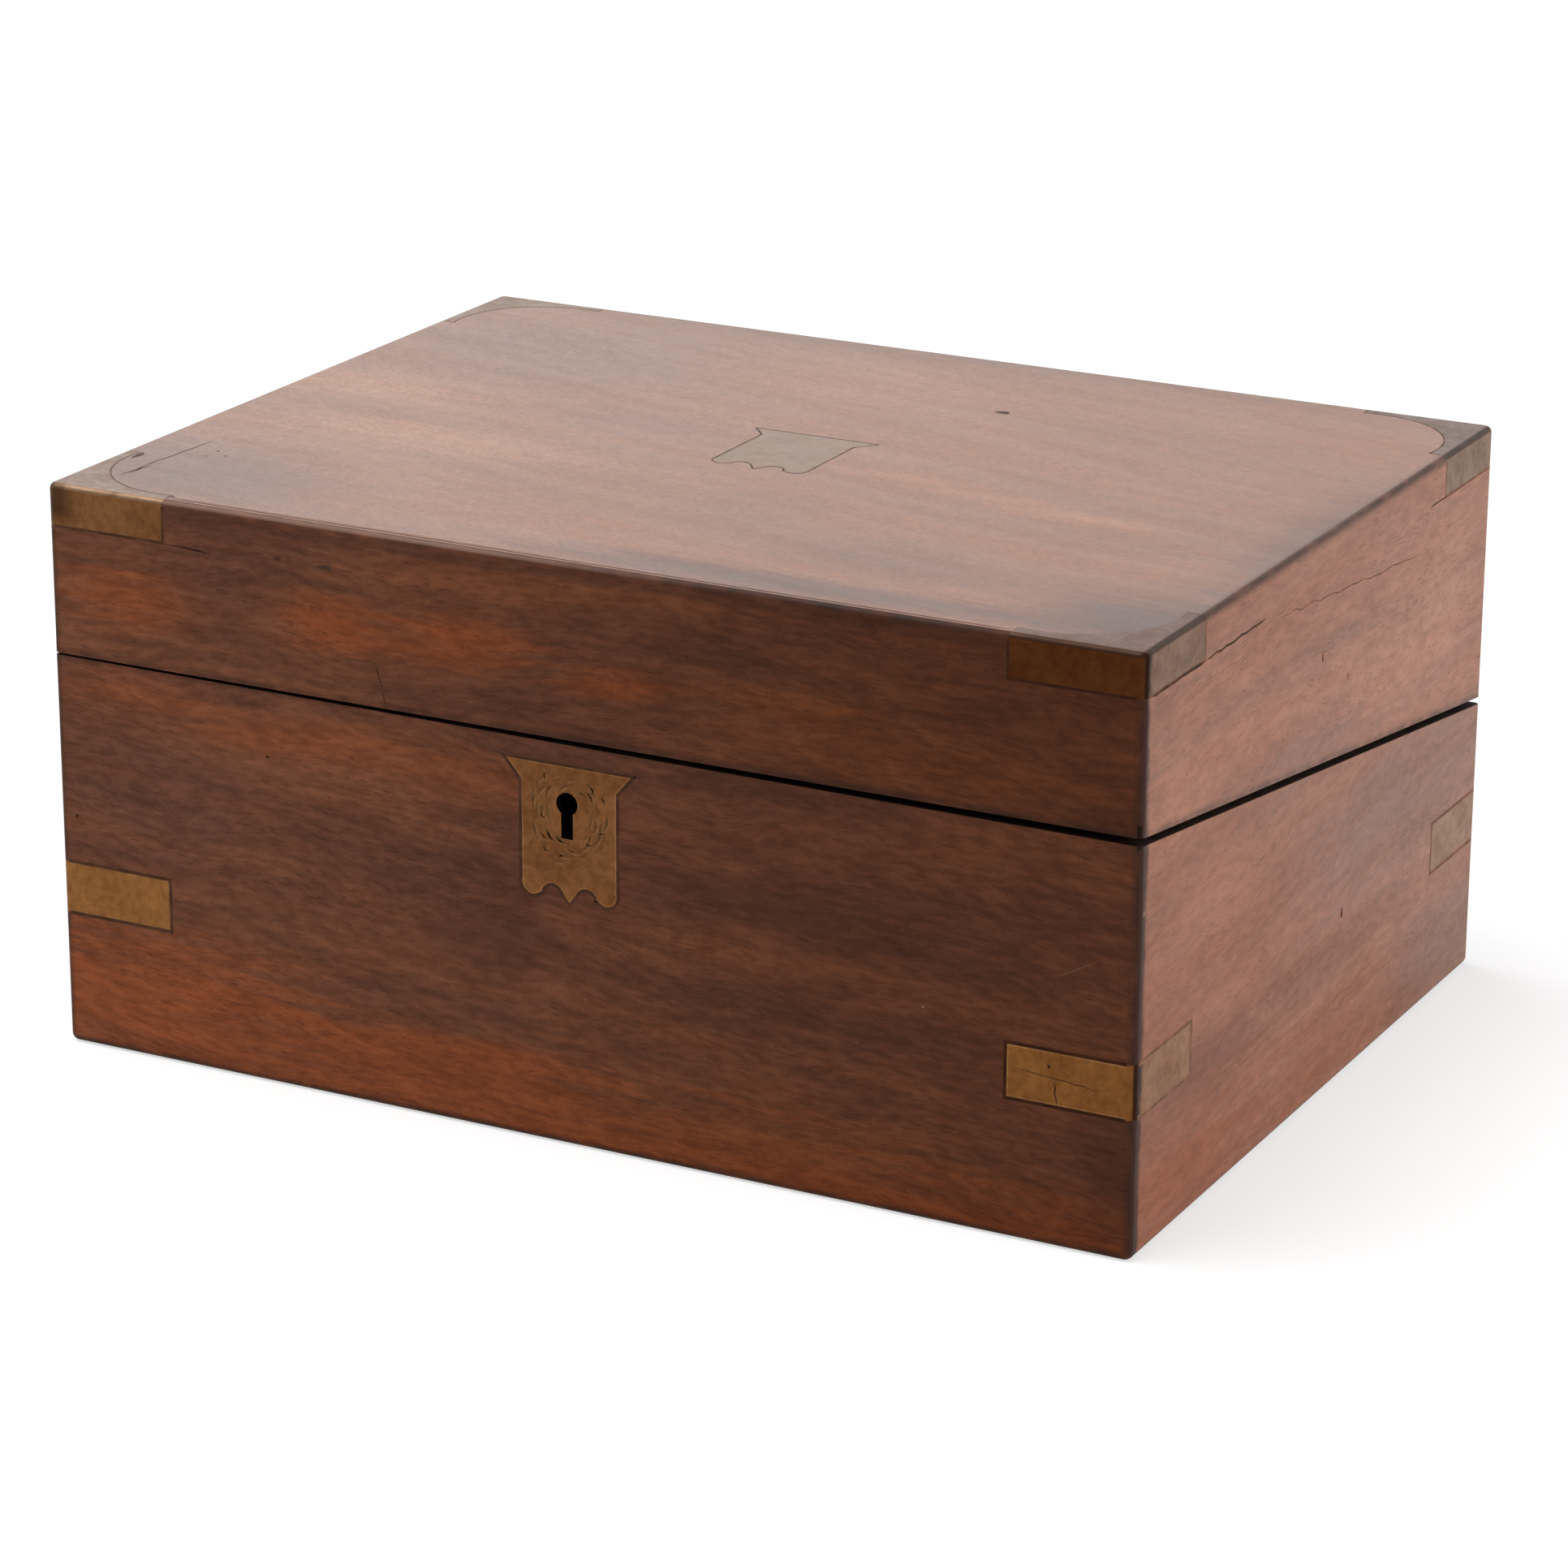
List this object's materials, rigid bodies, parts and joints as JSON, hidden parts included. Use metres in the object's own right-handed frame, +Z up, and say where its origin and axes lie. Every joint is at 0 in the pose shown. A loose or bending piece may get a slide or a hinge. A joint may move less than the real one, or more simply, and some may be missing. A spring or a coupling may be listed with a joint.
{
  "type": "writing slope",
  "caption": "Hardwood box that parts on a slope and opens to a writing surface, with brass corners, lock, pen trough, inkwells and hinged flaps.",
  "frame": {"origin": "middle of the underside of the base, box shut", "axes": "+X to the right when facing the lock, -Y to the front where the lock is, +Y to the hinges, +Z up"},
  "size_m": [0.3048, 0.2317, 0.1524],
  "materials": {
    "case_wood": "worn wax polish",
    "top_wood": "worn satin polish",
    "inner_wood": "thin polish",
    "brass": "tarnished",
    "spring_steel": "blued",
    "leather": "worn",
    "glass": "clear"
  },
  "bodies": {
    "base": {"base_front": "case_wood", "base_rear": "case_wood", "base_left": "case_wood", "base_right": "case_wood", "base_strap_front_left": "brass", "base_strap_front_right": "brass", "base_strap_rear_left": "brass", "base_strap_rear_right": "brass", "base_strap_pins": "brass", "base_bottom": "inner_wood", "escutcheon": "brass", "lock_plate": "brass", "lock_case": "brass", "lock_lever": "brass", "lock_spring": "spring_steel", "lock_screws": "brass", "hinge_leaves_base": "brass", "hinge_screws_base": "brass", "hinge_pins": "brass", "trough_floor": "inner_wood", "trough_partition": "inner_wood", "well_walls": "inner_wood", "tray_ledges": "inner_wood", "pen_tray": "inner_wood", "inkwell_left": "glass", "inkwell_right": "glass", "flap_catch_screw": "brass", "base_hinge_rail": "inner_wood", "base_flap_ledges": "inner_wood", "base_flap_hinge_fixed": "brass", "base_flap_hinge_pins": "brass"},
    "lid": {"lid_front": "case_wood", "lid_rear": "case_wood", "lid_left": "case_wood", "lid_right": "case_wood", "lid_corner_front_left": "brass", "lid_corner_front_right": "brass", "lid_corner_rear_left": "brass", "lid_corner_rear_right": "brass", "lid_corner_pins": "brass", "lid_cartouche": "brass", "lid_top": "top_wood", "lid_hinge_rail": "inner_wood", "lid_flap_ledges": "inner_wood", "lid_flap_hinge_fixed": "brass", "lid_flap_hinge_pins": "brass", "link_plate": "brass", "link_plate_screws": "brass", "hinge_leaves_lid": "brass", "hinge_screws_lid": "brass"},
    "base_flap": {"base_flap": "inner_wood", "base_flap_leather": "leather", "base_flap_hinge_moving": "brass"},
    "lid_flap": {"lid_flap": "inner_wood", "lid_flap_leather": "leather", "lid_flap_hinge_moving": "brass"},
    "lock_bolt": {"lock_bolt": "brass"},
    "flap_catch": {"flap_catch": "brass"},
    "ink_cap_left": {"ink_cap_left": "brass"},
    "ink_cap_right": {"ink_cap_right": "brass"}
  },
  "joints": [
    {"name": "lid_hinge", "type": "hinge", "parent": "base", "child": "lid", "pos_m": [0, 0.1151, 0.0762], "axis": [-1, 0, 0], "range_deg": [0, 180]},
    {"name": "base_flap_hinge", "type": "hinge", "parent": "base", "child": "base_flap", "pos_m": [0, 0.09571, 0.07657], "axis": [-1, 0, 0], "range_deg": [0, 65]},
    {"name": "lid_flap_hinge", "type": "hinge", "parent": "lid", "child": "lid_flap", "pos_m": [0, 0.09616, 0.07994], "axis": [1, 0, 0], "range_deg": [0, 65]},
    {"name": "lock_bolt_slide", "type": "slide", "parent": "base", "child": "lock_bolt", "axis": [1, 0, 0], "range_m": [0, 0.005]},
    {"name": "flap_catch_turn", "type": "hinge", "parent": "base", "child": "flap_catch", "pos_m": [0, -0.0622, 0.0977], "axis": [0, 0.1327, 0.9912], "range_deg": [0, 90]},
    {"name": "ink_cap_left_turn", "type": "hinge", "parent": "base", "child": "ink_cap_left", "pos_m": [-0.1224, -0.0848, 0.09], "axis": [0, 0, 1], "range_deg": [0, 360]},
    {"name": "ink_cap_right_turn", "type": "hinge", "parent": "base", "child": "ink_cap_right", "pos_m": [0.1224, -0.0848, 0.09], "axis": [0, 0, 1], "range_deg": [0, 360]}
  ],
  "couplings": [
    {"joint": "base_flap_hinge", "follows": "lid_hinge", "ratio": 0.3611},
    {"joint": "lid_flap_hinge", "follows": "lid_hinge", "ratio": 0.3611}
  ]
}
